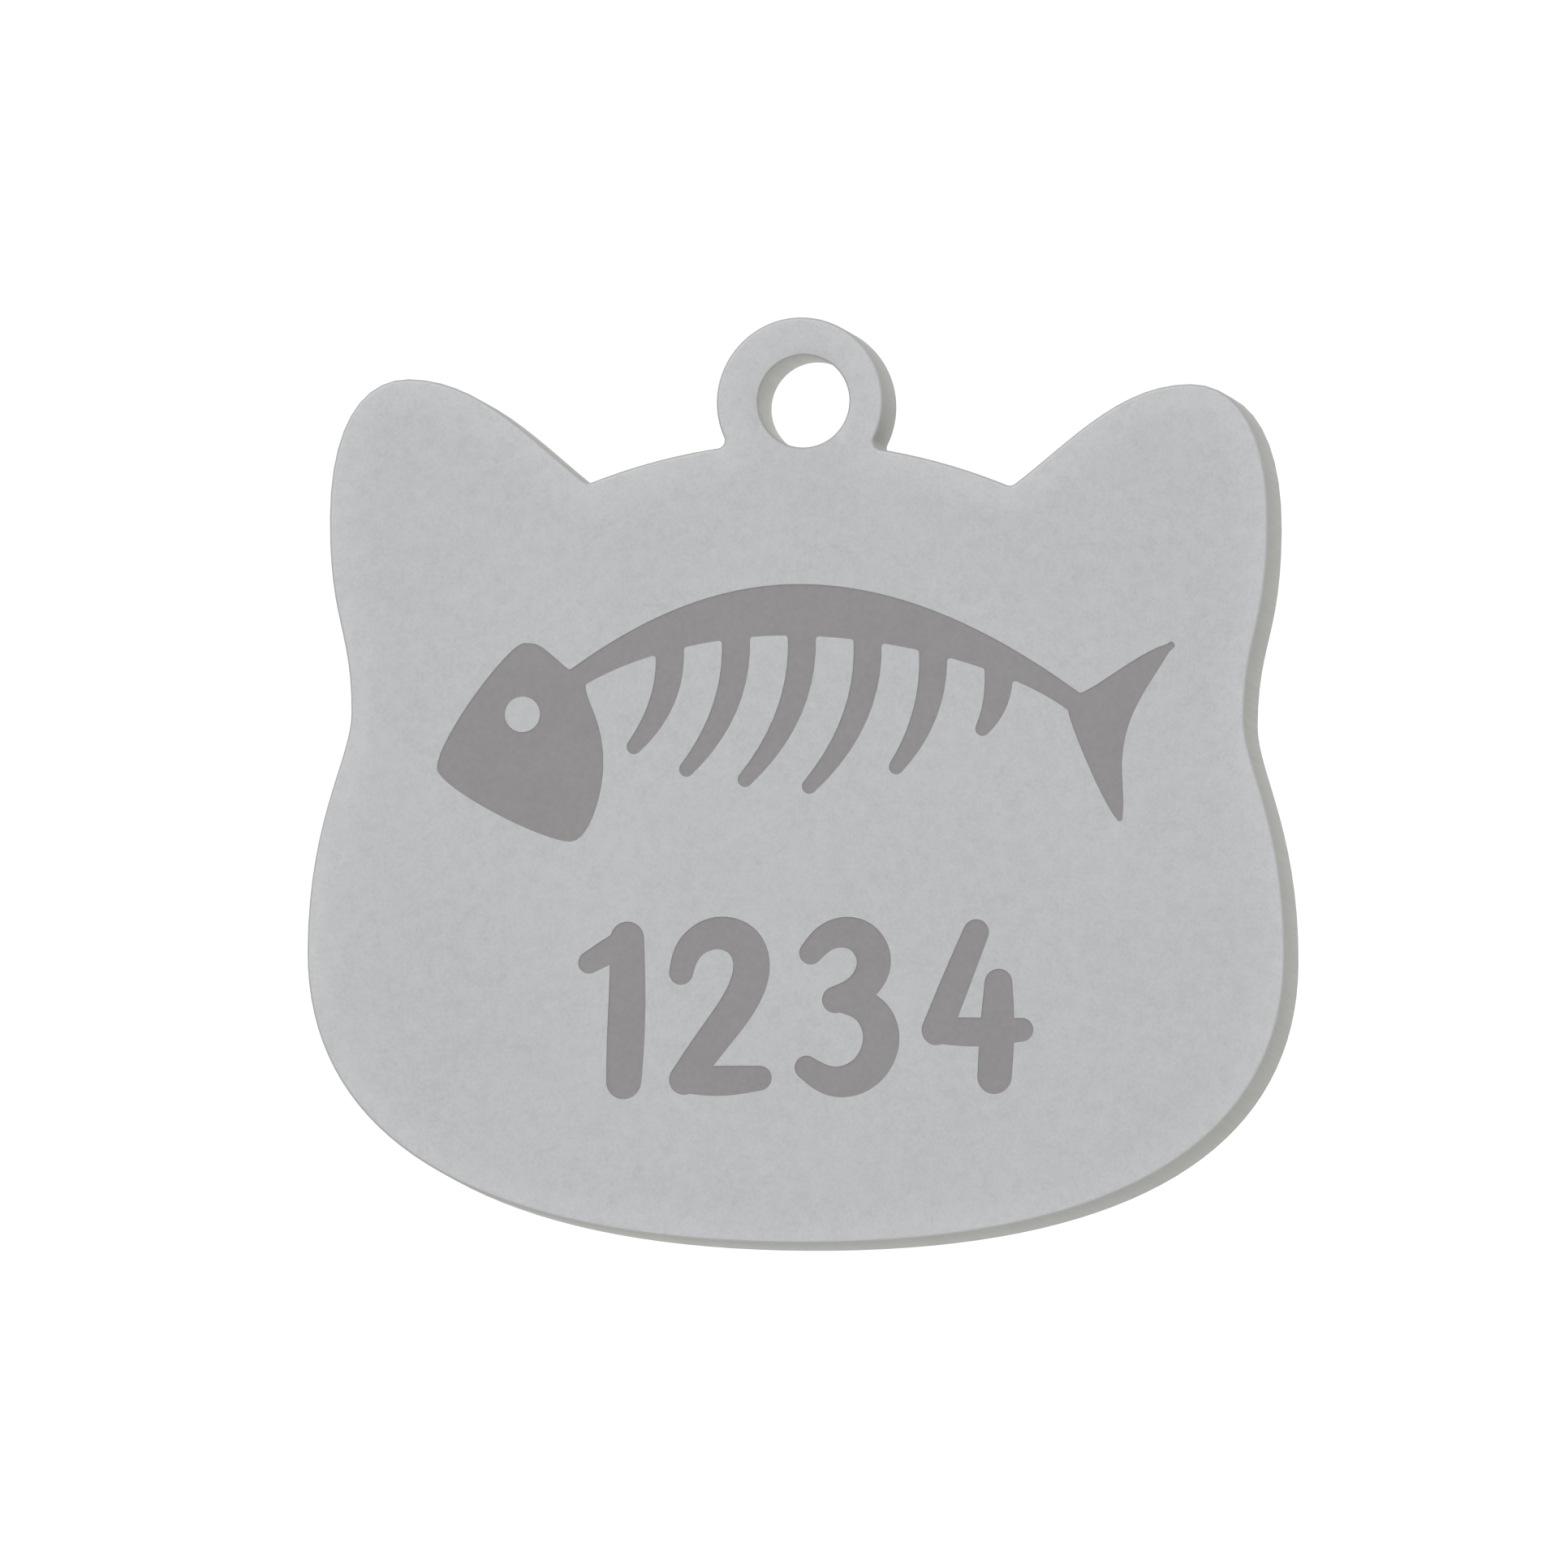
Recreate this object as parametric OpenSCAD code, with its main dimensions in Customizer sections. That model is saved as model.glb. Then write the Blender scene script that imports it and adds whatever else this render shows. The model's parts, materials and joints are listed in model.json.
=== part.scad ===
// Pet tag: a flat plate in the outline of a cat's head, with a round hanging eye
// on its brow, and a fishbone inlay set level in a pocket of its front face.
// It stands as it hangs: front face towards -Y, +Z up, and the origin is the
// middle of the hanging hole. Heights are measured from the chin.

/* [Plate] */
// Thickness of the plate and of its hanging eye
plate_t = 2.4; // [1.6:0.1:4]
// Width across the cheeks
head_w = 30; // [28:0.5:40]
// Height of the cheeks' widest place above the chin
cheek_h = 8.8; // [7:0.1:11]
// Width at the waist below the ears
waist_w = 27.4; // [25:0.2:30]
// Rise from the cheeks to the waist
waist_rise = 7.2; // [5:0.1:10]
// Width across the outer sides of the ears
ear_w = 28.8; // [27:0.2:34]
// Rise from the waist to the ears' widest place
ear_side_rise = 5.95; // [4:0.05:8]
// Distance between the two ear tips
ear_tip_span = 24; // [20:0.1:26]
// Rise from the ears' widest place to their tips
ear_tip_rise = 4.2; // [3:0.1:6]
// Distance between the two notches inside the ears
notch_span = 13; // [10:0.5:16]
// Drop from the ear tips to the notches
notch_drop = 3.15; // [2:0.05:5]
// Slope of the ear where it runs into the notch, in degrees
notch_angle = 37; // [25:1:50]
// Rise from the notches to the top of the brow
brow_rise = 1.3; // [0.6:0.1:2.5]
// Slope of the head from its left side down to its right side, in degrees
head_slant = 1; // [-3:0.1:3]

/* [Hanging eye] */
// Outside diameter of the eye
eye_d = 5.1; // [4:0.1:8]
// Diameter of the hole for the ring
bore_d = 2.8; // [2:0.1:3.6]
// Offset of the hole from the plate's centre line
bore_shift = 0.12; // [-0.3:0.02:0.3]
// Height of the hole's centre above the top of the brow
eye_rise = 1.25; // [0.6:0.05:1.8]
// Radius left by the cutter in the plate's inner corners
root_r = 0.25; // [0.1:0.05:0.6]

/* [Fishbone] */
// Length of the fishbone from snout to tail tip
fish_l = 22.6; // [18:0.2:24]
// Height of the fishbone from throat to back
fish_h = 7.8; // [6:0.1:9]
// Height of its middle above the chin
fish_rise = 16.1; // [14:0.05:18]
// Offset of its middle from the plate's centre line
fish_shift = 0.26; // [-0.5:0.02:0.5]
// Slope of the fishbone from its head down to its tail, in degrees
fish_turn = 0.5; // [-3:0.1:3]
// Greatest depth of the spine
spine_w = 1.56; // [0.8:0.02:2]
// Number of ribs
rib_count = 6; // [3:1:6]
// Distance from rib to rib
rib_pitch = 2.02; // [1.4:0.02:2.1]
// Reach of the longest rib below the spine
rib_l = 4.4; // [2:0.05:5]
// Width of a rib at the spine
rib_w = 0.86; // [0.5:0.02:1.1]
// Width of a rib at its round tip
rib_tip_w = 0.46; // [0.3:0.02:0.5]
// Diameter of the fish's eye
fish_eye_d = 1.08; // [0.6:0.02:1.6]
// Radius in the fishbone's inner corners
web_r = 0.1; // [0.05:0.01:0.2]
// Depth of the pocket and thickness of the inlay
inlay_t = 0.4; // [0.2:0.05:1]
// Clearance round the inlay in its pocket
inlay_gap = 0.02; // [0.01:0.01:0.05]

/* [Hidden] */
// Sides of a full circle
round_sides = 96;
$fn = round_sides;
// Sides of the small arcs that a cutter leaves in inner corners
corner_sides = 24;
// Longest step along the head's outline
head_step = 0.5;
// Longest step along the fishbone's outline
fish_step = 0.3;
// Fewest steps from one anchor to the next
least_steps = 4;
// Steps along one rib
rib_steps = 10;
// How far a cut runs past the face that it opens
overrun = 0.5;

// Heights above the chin that follow from the rises
waist_h = cheek_h + waist_rise;
ear_side_h = waist_h + ear_side_rise;
ear_tip_h = ear_side_h + ear_tip_rise;
notch_h = ear_tip_h - notch_drop;
brow_h = notch_h + brow_rise;
bore_h = brow_h + eye_rise;

// An anchor is [place, handle towards the last anchor, handle towards the next].
// A handle's length is a share of the stretch that it shapes.
chin_share = 0.63;
jowl_share = 0.67;
cheek_share = 0.56;
waist_low_share = 0.19;
waist_top_share = 0.43;
ear_low_share = 0.54;
ear_side_share = 0.62;
ear_tip_outer_share = 0.64;
ear_tip_inner_share = 0.4;
notch_share = 0.4;
brow_share = 1 / 3;

ear_slope_l = (ear_tip_span - notch_span) / 2;
notch_out = notch_share * ear_slope_l * [cos(notch_angle), sin(notch_angle)];

half_head = [
    [[0, 0], [0, 0], [chin_share * head_w / 2, 0]],
    [[head_w / 2, cheek_h], [0, -jowl_share * cheek_h], [0, cheek_share * waist_rise]],
    [[waist_w / 2, waist_h], [0, -waist_low_share * waist_rise], [0, waist_top_share * ear_side_rise]],
    [[ear_w / 2, ear_side_h], [0, -ear_low_share * ear_side_rise], [0, ear_side_share * ear_tip_rise]],
    [[ear_tip_span / 2, ear_tip_h], [ear_tip_outer_share * (ear_w - ear_tip_span) / 2, 0],
        [-ear_tip_inner_share * ear_slope_l, 0]],
    [[notch_span / 2, notch_h], notch_out, [-brow_share * notch_span / 2, 2 * brow_share * brow_rise]],
    [[0, brow_h], [brow_share * notch_span / 2, 0], [0, 0]],
];

// The fishbone's anchors, as shares of its length and height from its middle
head_shares = [
    [[-0.500, -0.212], [0, -0.073], [0, 0.114]],
    [[-0.384, 0.273], [-0.021, 0], [0.026, 0]],
    [[-0.300, 0.114], [-0.064, 0.150], [0, -0.076]],
    [[-0.274, -0.206], [0, 0.185], [0, -0.103]],
    [[-0.317, -0.500], [0.026, 0], [-0.039, 0]],
];
back_shares = [
    [[-0.322, 0.167], [0, 0], [0.090, 0.190]],
    [[-0.012, 0.500], [-0.119, 0], [0.152, 0]],
    [[0.372, 0.072], [-0.096, 0.199], [0, 0]],
];
belly_shares = [
    [[-0.306, 0.101], [0, 0], [0.080, 0.140]],
    [[-0.030, 0.500], [-0.085, 0], [0.160, 0]],
    [[0.356, 0.006], [-0.069, 0.149], [0, 0]],
];
tail_shares = [
    [[0.350, 0.100], [0, 0], [0, 0]],
    [[0.372, 0.072], [0, 0], [0.030, 0.034]],
    [[0.500, 0.270], [-0.039, -0.012], [-0.037, -0.183]],
    [[0.430, -0.212], [0, 0.203], [0, -0.050]],
    [[0.429, -0.430], [0.008, 0.015], [-0.018, 0.027]],
    [[0.356, 0.006], [0, -0.040], [0, 0]],
];
fish_eye_share = [-0.385, -0.004];
first_rib_share = -0.186;
// Each rib's reach and its sweep towards the head, as shares of the longest reach
rib_shares = [[0.66, 0.24], [0.90, 0.33], [0.99, 0.38], [1, 0.39], [0.78, 0.245], [0.375, 0.105]];
// Where a rib's curve bends: how far it leans to the tail and how far down
rib_bend_share = [0.08, 0.55];

// Point of a cubic curve from a to d with the handles' ends at b and c
function cubic(a, b, c, d, t) =
    pow(1 - t, 3) * a + 3 * pow(1 - t, 2) * t * b + 3 * (1 - t) * t * t * c + pow(t, 3) * d;

// Points along a path of anchors, from the first to the last, a step apart at most
function pen(anchors, step) = concat([anchors[0][0]], [
    for (i = [1:len(anchors) - 1])
        let (p = anchors[i - 1], q = anchors[i])
        let (steps = max(least_steps, ceil(norm(q[0] - p[0]) / step)))
        for (k = [1:steps])
            cubic(p[0], p[0] + p[2], q[0] + q[1], q[0], k / steps)
]);

function closed(anchors) = concat(anchors, [anchors[0]]);
function reversed(points) = [for (i = [len(points) - 1:-1:0]) points[i]];
function mirrored(points) = [for (p = reversed(points)) [-p[0], p[1]]];
function slanted(points) = [for (p = points) [p[0], p[1] - tan(head_slant) * p[0]]];
function sized(p) = [p[0] * fish_l, p[1] * fish_h];
function sized_anchors(rows) = [for (row = rows) [for (p = row) sized(p)]];

// The left normal of a line of points at its point k
function normal_at(line, k) =
    let (d = line[min(k + 1, len(line) - 1)] - line[max(k - 1, 0)])
    [-d[1], d[0]] / norm(d);

// Outline of a band that follows a line, with a width for each of its points
function band(line, widths) = concat(
    [for (k = [0:len(line) - 1]) line[k] + normal_at(line, k) * widths[k] / 2],
    reversed([for (k = [0:len(line) - 1]) line[k] - normal_at(line, k) * widths[k] / 2])
);

back_line = pen(sized_anchors(back_shares), fish_step);
belly_line = pen([
    for (i = [0:2])
        let (a = [for (p = belly_shares[i]) sized(p)])
        i == 1 ? [a[0] - [0, spine_w], a[1], a[2]] : a
], fish_step);

module head_outline() {
    right = pen(half_head, head_step);
    polygon(slanted(concat(right, mirrored([for (i = [1:len(right) - 2]) right[i]]))));
}

module plate_outline() {
    offset(r = -root_r, $fn = corner_sides)
        offset(delta = root_r) {
            head_outline();
            translate([0, bore_h])
                circle(d = eye_d, $fn = round_sides);
        }
}

module rib(index) {
    x = first_rib_share * fish_l + index * rib_pitch;
    top = [x, (lookup(x, back_line) + lookup(x, belly_line)) / 2];
    root = [x, lookup(x, belly_line)];
    reach = rib_shares[index][0] * rib_l;
    sweep = rib_shares[index][1] * rib_l;
    tip = root - [sweep, reach];
    bend = root + [rib_bend_share[0] * sweep, -rib_bend_share[1] * reach];
    line = concat([top], [
        for (k = [0:rib_steps])
            let (t = k / rib_steps)
            pow(1 - t, 2) * root + 2 * (1 - t) * t * bend + t * t * tip
    ]);
    widths = concat([rib_w], [
        for (k = [0:rib_steps]) rib_w + (rib_tip_w - rib_w) * pow(k / rib_steps, 2)
    ]);
    polygon(band(line, widths));
    translate(tip)
        circle(d = rib_tip_w, $fn = corner_sides);
}

module fishbone_outline() {
    translate([fish_shift, fish_rise])
        rotate(-fish_turn)
            difference() {
                offset(r = -web_r, $fn = corner_sides)
                    offset(delta = web_r) {
                        polygon(pen(closed(sized_anchors(head_shares)), fish_step));
                        polygon(concat(back_line, reversed(belly_line)));
                        polygon(pen(closed(sized_anchors(tail_shares)), fish_step));
                        for (i = [0:rib_count - 1])
                            rib(i);
                    }
                translate(sized(fish_eye_share))
                    circle(d = fish_eye_d);
            }
}

// Raises a flat outline into a slab behind the front face
module slab(depth, front = 0) {
    translate([-bore_shift, -plate_t / 2 - front, -bore_h])
        rotate([90, 0, 0])
            translate([0, 0, -depth - front])
                linear_extrude(height = depth + front)
                    children();
}

module tag_plate() {
    color("silver")
        difference() {
            slab(plate_t)
                plate_outline();
            rotate([90, 0, 0])
                cylinder(d = bore_d, h = plate_t + 2 * overrun, center = true);
            slab(inlay_t, overrun)
                offset(delta = inlay_gap)
                    fishbone_outline();
        }
}

module fishbone_inlay() {
    color("dimgray")
        slab(inlay_t)
            fishbone_outline();
}

tag_plate();
fishbone_inlay();
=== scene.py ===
"""Looks of a pet id tag: a satin steel plate in the outline of a cat's head, with a
fishbone and a row of plain digits cut into its front and filled dark.

Everything is in metres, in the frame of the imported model: front face towards -Y,
+Z up, and the origin in the middle of the hanging hole.
"""

import json
import logging
import math
from collections.abc import Callable, Sequence
from dataclasses import dataclass
from enum import Enum

import bmesh
import bpy
import numpy as np
from mathutils import Matrix, Vector


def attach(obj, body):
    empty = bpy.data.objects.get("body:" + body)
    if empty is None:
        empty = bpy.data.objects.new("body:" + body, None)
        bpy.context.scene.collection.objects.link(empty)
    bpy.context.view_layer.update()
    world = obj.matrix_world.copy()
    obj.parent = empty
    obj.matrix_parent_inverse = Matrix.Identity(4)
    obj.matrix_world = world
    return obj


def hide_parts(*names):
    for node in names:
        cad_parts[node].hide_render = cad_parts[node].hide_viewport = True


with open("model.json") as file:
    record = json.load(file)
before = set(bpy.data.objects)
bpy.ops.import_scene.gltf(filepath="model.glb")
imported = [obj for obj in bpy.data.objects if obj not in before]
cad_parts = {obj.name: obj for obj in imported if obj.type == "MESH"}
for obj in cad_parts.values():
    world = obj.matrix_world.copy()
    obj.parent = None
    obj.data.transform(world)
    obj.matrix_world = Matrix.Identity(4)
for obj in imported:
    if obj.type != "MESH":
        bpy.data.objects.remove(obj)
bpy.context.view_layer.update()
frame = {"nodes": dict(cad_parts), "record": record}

LOG = logging.getLogger("pet_id_tag")

# Lengths: a millimetre, a step too fine to see, and a length that counts as none
MM = 0.001
HAIR = 0.001 * MM
TINY = 0.00001 * MM

# The plate's half thickness and the hole's radius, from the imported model
RING_HOLE = next(m["dims"] for m in frame["record"]["mounts"] if m["name"] == "ring_hole")
HALF_T = RING_HOLE["length_mm"] * MM / 2
BORE_R = RING_HOLE["r_mm"] * MM

# How near the Y axis a face's normal is where the face counts as level, and as dead level
LEVEL = 0.99
DEAD_LEVEL = 0.99999

QUARTER_TURN = math.radians(90)

# The profile with which a bevel is an arc
ROUND_PROFILE = 0.5

# The most corners that a face of a finished piece has
QUAD_CORNERS = 4

# The attribute of a piece's corners that runs from 0 at its rim to 1 inside; on the plate it
# places the painted rim highlight
RIM_NAME = "rim"

# The middle value of a noise
NOISE_MIDDLE = 0.5

Place = tuple[float, float, float]
Colour = tuple[float, float, float]


class Part(Enum):
    """The part of a mesh that an edit selects, and its name in a mesh."""

    VERTS = "VERT"
    EDGES = "EDGE"
    FACES = "FACE"


class Cut(Enum):
    """What a boolean does with the second shape."""

    TAKE_AWAY = "DIFFERENCE"
    ADD = "UNION"


class Slot(Enum):
    """The record's material slots."""

    PLATE_METAL = "plate_metal"
    DARK_FILL = "dark_fill"


def take(piece: bpy.types.Object) -> None:
    """Makes a piece the only selected and active one.

    Args:
        piece: The piece that the next operators work on.
    """
    bpy.ops.object.select_all(action="DESELECT")
    piece.select_set(True)
    bpy.context.view_layer.objects.active = piece


def edit(piece: bpy.types.Object) -> None:
    """Opens a piece in edit mode with nothing selected.

    Args:
        piece: The piece to edit.
    """
    take(piece)
    bpy.ops.object.mode_set(mode="EDIT")
    bpy.ops.mesh.select_all(action="DESELECT")


def done() -> None:
    """Goes back to object mode."""
    bpy.ops.object.mode_set(mode="OBJECT")


def select(piece: bpy.types.Object, part: Part, test: Callable[..., bool]) -> None:
    """Selects only the parts of a mesh that pass a test, in edit mode.

    Args:
        piece: The piece that is open in edit mode.
        part: Vertices, edges or faces.
        test: Says of one of them whether it is selected.
    """
    bpy.ops.mesh.select_mode(type=part.value)
    bpy.ops.mesh.select_all(action="DESELECT")
    mesh = bmesh.from_edit_mesh(piece.data)
    items = {Part.VERTS: mesh.verts, Part.EDGES: mesh.edges, Part.FACES: mesh.faces}
    for item in items[part]:
        if test(item):
            item.select_set(True)
    mesh.select_flush_mode()
    bmesh.update_edit_mesh(piece.data)


def copy_of_node(node: str, name: str, merge: float) -> bpy.types.Object:
    """Copies a CAD node and merges its loose triangles.

    Args:
        node: The CAD node's name.
        name: The new piece's name.
        merge: The distance within which vertices become one, in metres.

    Returns:
        The copy, with a mesh of its own.
    """
    piece = bpy.data.objects.new(name, frame["nodes"][node].data.copy())
    piece.data.name = name
    piece.data.materials.clear()
    bpy.context.scene.collection.objects.link(piece)
    edit(piece)
    bpy.ops.mesh.select_all(action="SELECT")
    bpy.ops.mesh.remove_doubles(threshold=merge)
    done()
    return piece


def boolean(piece: bpy.types.Object, other: bpy.types.Object, cut: Cut) -> None:
    """Joins or cuts a piece with another shape, and applies it.

    Args:
        piece: The piece that changes.
        other: The shape that it is joined or cut with.
        cut: What is done.
    """
    take(piece)
    bpy.ops.object.modifier_add(type="BOOLEAN")
    modifier = piece.modifiers[-1]
    modifier.operation = cut.value
    modifier.solver = "EXACT"
    modifier.object = other
    bpy.ops.object.modifier_apply(modifier=modifier.name)


def drop(piece: bpy.types.Object) -> None:
    """Deletes a shape that was only a tool."""
    bpy.data.objects.remove(piece)


def settle_faces(piece: bpy.types.Object, angle: float) -> None:
    """Smooths a piece where its faces meet gently, and keeps its dead level faces flat.

    Args:
        piece: The piece.
        angle: Edges sharper than this stay sharp, in degrees.
    """
    edit(piece)
    bpy.ops.mesh.select_all(action="SELECT")
    bpy.ops.mesh.dissolve_degenerate(threshold=TINY)
    select(piece, Part.FACES, lambda f: len(f.verts) > QUAD_CORNERS)
    bpy.ops.mesh.quads_convert_to_tris(quad_method="BEAUTY", ngon_method="BEAUTY")
    done()
    take(piece)
    bpy.ops.object.shade_smooth_by_angle(angle=math.radians(angle))
    edit(piece)
    select(piece, Part.FACES, lambda f: abs(f.normal.y) > DEAD_LEVEL)
    bpy.ops.mesh.faces_shade_flat()
    done()


def mark_rim(piece: bpy.types.Object, shares: np.ndarray) -> None:
    """Writes how far each corner of a piece lies from its rim.

    Args:
        piece: The piece.
        shares: A number for each corner, from 0 at the rim to 1 inside.
    """
    layer = piece.data.attributes.new(RIM_NAME, "FLOAT", "POINT")
    layer.data.foreach_set("value", shares.astype(np.float32))


def hand_over(piece: bpy.types.Object, stands_for: str | None = None) -> None:
    """Rides a finished piece on the tag, and hides the CAD node that it stands for.

    Args:
        piece: The finished piece.
        stands_for: The CAD node that the piece replaces, if there is one.
    """
    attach(piece, "root")
    if stands_for is not None:
        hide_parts(stands_for)
    piece.data.calc_loop_triangles()
    LOG.info("%s: %d triangles", piece.name, len(piece.data.loop_triangles))


@dataclass(frozen=True)
class Grain:
    """The fine grain of a surface.

    Attributes:
        size: The width of a grain.
        stretch: How quickly it changes along each axis, 1 for full.
        tone: How far it swings the colour.
        gloss: How far it swings the roughness.
        depth: The height of its bumps.
    """

    size: float
    stretch: tuple[float, float, float]
    tone: float
    gloss: float
    depth: float


@dataclass(frozen=True)
class Wear:
    """The marks that handling leaves on a surface: how strong its smudges and hairlines are."""

    smudge: float
    hairline: float


@dataclass(frozen=True)
class Finish:
    """One finish of the tag: its colours inside and at the rim, its gloss, grain and wear. A rim
    colour lighter than the core is a painted highlight.
    """

    name: str
    core: Colour
    rim: Colour
    metallic: float
    roughness: float
    grain: Grain
    wear: Wear


SATIN = Finish(
    name="satin_steel",
    core=(0.467, 0.473, 0.484),
    # The rim colour, lighter than the core, is a painted highlight along the plate's outline.
    rim=(0.495, 0.501, 0.510),
    metallic=1.0,
    roughness=0.42,
    grain=Grain(size=0.09 * MM, stretch=(1, 1, 1), tone=0.075, gloss=0.12, depth=0.002 * MM),
    wear=Wear(smudge=0.02, hairline=0.05),
)
CUT_EDGE = Finish(
    name="cut_edge_steel",
    core=(0.427, 0.430, 0.404),
    rim=(0.427, 0.430, 0.404),
    metallic=1.0,
    roughness=0.7,
    grain=Grain(size=0.12 * MM, stretch=(1, 0.04, 1), tone=0.12, gloss=0.12, depth=0.003 * MM),
    wear=Wear(smudge=0.03, hairline=0.0),
)
DEBURRED = Finish(
    name="deburred_steel",
    core=(0.478, 0.480, 0.476),
    rim=(0.478, 0.480, 0.476),
    metallic=1.0,
    roughness=0.7,
    grain=Grain(size=0.09 * MM, stretch=(1, 1, 1), tone=0.08, gloss=0.12, depth=0.002 * MM),
    wear=Wear(smudge=0.03, hairline=0.0),
)
# The hole's wall: its lower roughness is the ring's polish, and its colour, lighter than the cut
# edge, is painted light that lifts the shade inside the hole.
RING_POLISH_AND_PAINTED_LIGHT = Finish(
    name="ring_polished_painted_light_steel",
    core=(0.498, 0.501, 0.470),
    rim=(0.498, 0.501, 0.470),
    metallic=1.0,
    roughness=0.55,
    grain=Grain(size=0.10 * MM, stretch=(1, 0.15, 1), tone=0.06, gloss=0.10, depth=0.002 * MM),
    wear=Wear(smudge=0.03, hairline=0.0),
)
DARK_ENAMEL = Finish(
    name="dark_enamel",
    core=(0.225, 0.217, 0.220),
    rim=(0.213, 0.205, 0.208),
    metallic=0.0,
    roughness=0.5,
    grain=Grain(size=0.16 * MM, stretch=(1, 1, 1), tone=0.07, gloss=0.08, depth=0.002 * MM),
    wear=Wear(smudge=0.03, hairline=0.0),
)


@dataclass(frozen=True)
class GrainPattern:
    """How a fine and a wide noise mix into grain.

    Attributes:
        wide_scale: The wide noise's scale, as a share of the fine one's.
        fine_weight: The fine noise's part in the mix.
        wide_weight: The wide noise's part in the mix.
        contrast: How far the mix is spread about its middle.
        fine_detail: Finer layers of the fine noise.
        wide_detail: Finer layers of the wide noise.
    """

    wide_scale: float = 0.21
    fine_weight: float = 0.7
    wide_weight: float = 0.3
    contrast: float = 4.0
    fine_detail: float = 2.0
    wide_detail: float = 1.0


@dataclass(frozen=True)
class WearPattern:
    """How handling marks lie on a surface. Every scale is in repeats a metre.

    Attributes:
        smudge_scale: The scale of the soft smudges.
        smudge_detail: Their finer layers.
        smudge_contrast: How far they are spread about their middle.
        line_scale: The scale of the hairlines across their length.
        line_stretch: How many times longer than wide they are.
        line_lays: The turn in degrees and the shift of each set of them.
        line_floor: The noise above which there is a line.
        line_contrast: How sharply a line begins.
        patch_scale: The scale of the patches that have lines.
        patch_floor: The noise above which there is a patch.
        patch_contrast: How sharply a patch begins.
        line_detail: Finer layers of lines and patches.
    """

    smudge_scale: float = 240.0
    smudge_detail: float = 3.0
    smudge_contrast: float = 3.0
    line_scale: float = 5200.0
    line_stretch: float = 33.0
    line_lays: tuple[tuple[float, float], ...] = ((23, 0.0), (-38, 3.1), (71, 7.7))
    line_floor: float = 0.70
    line_contrast: float = 9.0
    patch_scale: float = 420.0
    patch_floor: float = 0.48
    patch_contrast: float = 6.0
    line_detail: float = 1.0


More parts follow.
